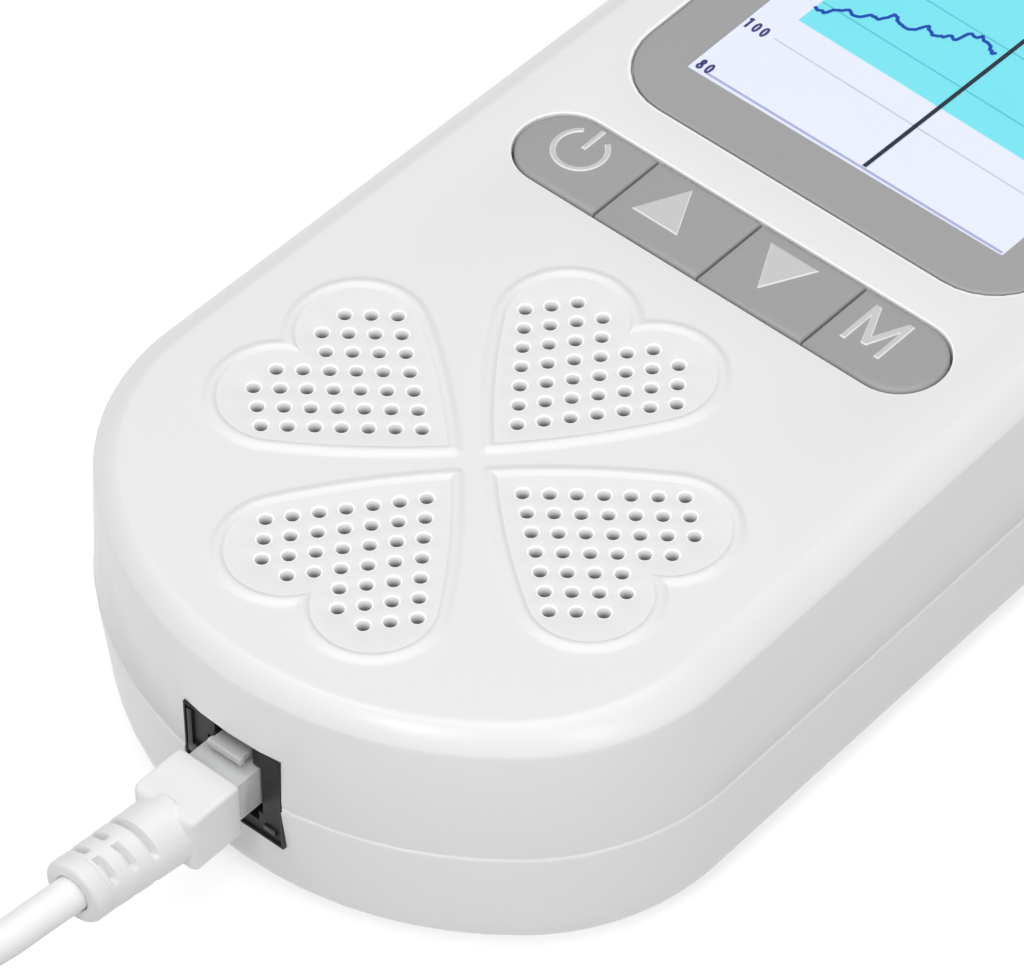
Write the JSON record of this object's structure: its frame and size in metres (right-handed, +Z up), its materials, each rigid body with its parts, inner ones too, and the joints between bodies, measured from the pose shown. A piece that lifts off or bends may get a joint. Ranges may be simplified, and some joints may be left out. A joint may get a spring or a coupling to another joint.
{
  "type": "fetal doppler monitor",
  "caption": "Hand-held fetal doppler: rounded two-shell unit with display, pill of keys, clover speaker grille, and a plugged-in coiled lead to its probe.",
  "frame": {"origin": "middle of the flat underside of the rear cover, the unit lying on its back", "axes": "+Z up out of the face, +Y from the lead's socket towards the display, +X to the unit's right seen from above"},
  "size_m": [0.0915, 0.3963, 0.0379],
  "materials": {
    "housing_white": "glossy moulded ABS",
    "key_grey": "satin moulded keys with pale printed symbols",
    "window_grey": "satin grey window surround",
    "window_clear": "clear gloss",
    "screen": "lit display picture",
    "display_metal": "folded sheet bezel",
    "black_plastic": "fine matte",
    "board_green": "lacquered circuit board",
    "steel": "bright zinc",
    "gold_contact": "gold-plated spring contact",
    "plug_clear": "clear moulded connector",
    "cable_white": "soft white PVC",
    "speaker_black": "coated paper cone",
    "foam_black": "closed foam",
    "cell_jacket": "plain printed sleeve",
    "probe_lens": "cast grey resin",
    "crystal": "fired ceramic",
    "tie_black": "hook-and-loop strap"
  },
  "bodies": {
    "housing": {"front_shell": "housing_white", "rear_cover": "housing_white", "window_frame": "window_grey", "window_glass": "window_clear", "display_screen": "screen", "display_module": "display_metal", "switch_power": "black_plastic", "switch_up": "black_plastic", "switch_down": "black_plastic", "switch_menu": "black_plastic", "main_board": "board_green", "chip_processor": "black_plastic", "chip_amplifier": "black_plastic", "speaker_gasket": "foam_black", "speaker_basket": "steel", "speaker_cone": "speaker_black", "speaker_magnet": "steel", "jack_housing": "black_plastic", "jack_contact_1": "gold_contact", "jack_contact_2": "gold_contact", "jack_contact_3": "gold_contact", "jack_contact_4": "gold_contact", "battery_cell_1": "cell_jacket", "battery_cell_2": "cell_jacket", "battery_cell_3": "cell_jacket", "battery_spring_1": "steel", "battery_spring_2": "steel", "battery_spring_3": "steel", "battery_plate_1": "steel", "battery_plate_2": "steel", "battery_plate_3": "steel", "case_screw_1": "steel", "case_screw_2": "steel", "case_screw_3": "steel", "case_screw_4": "steel"},
    "key_power": {"key_power": "key_grey", "plunger_power": "steel"},
    "key_up": {"key_up": "key_grey", "plunger_up": "steel"},
    "key_down": {"key_down": "key_grey", "plunger_down": "steel"},
    "key_menu": {"key_menu": "key_grey", "plunger_menu": "steel"},
    "battery_door": {"battery_door": "housing_white"},
    "lead": {"plug_body": "plug_clear", "cord_boot": "cable_white", "cord_run": "cable_white", "cord_coil": "cable_white", "cord_tail": "cable_white", "coil_tie": "tie_black", "probe_shell_top": "housing_white", "probe_shell_bottom": "housing_white", "probe_ring": "key_grey", "probe_face": "probe_lens", "probe_crystal_1": "crystal", "probe_crystal_2": "crystal", "probe_board": "board_green", "probe_relief": "cable_white"},
    "latch": {"plug_latch": "plug_clear"}
  },
  "joints": [
    {"name": "key_power_press", "type": "slide", "parent": "housing", "child": "key_power", "axis": [0, 0, -1], "range_m": [0, 0.0008], "stiffness_N_per_m": 2500},
    {"name": "key_up_press", "type": "slide", "parent": "housing", "child": "key_up", "axis": [0, 0, -1], "range_m": [0, 0.0008], "stiffness_N_per_m": 2500},
    {"name": "key_down_press", "type": "slide", "parent": "housing", "child": "key_down", "axis": [0, 0, -1], "range_m": [0, 0.0008], "stiffness_N_per_m": 2500},
    {"name": "key_menu_press", "type": "slide", "parent": "housing", "child": "key_menu", "axis": [0, 0, -1], "range_m": [0, 0.0008], "stiffness_N_per_m": 2500},
    {"name": "door_slide", "type": "slide", "parent": "housing", "child": "battery_door", "axis": [0, -1, 0], "range_m": [0, 0.006]},
    {"name": "lead_unplug", "type": "slide", "parent": "housing", "child": "lead", "axis": [0, -1, 0], "range_m": [0, 0.014]},
    {"name": "latch_press", "type": "hinge", "parent": "lead", "child": "latch", "pos_m": [0, -0.072, 0.0222], "axis": [1, 0, 0], "range_deg": [0, 3], "stiffness_Nm_per_rad": 0.3}
  ]
}
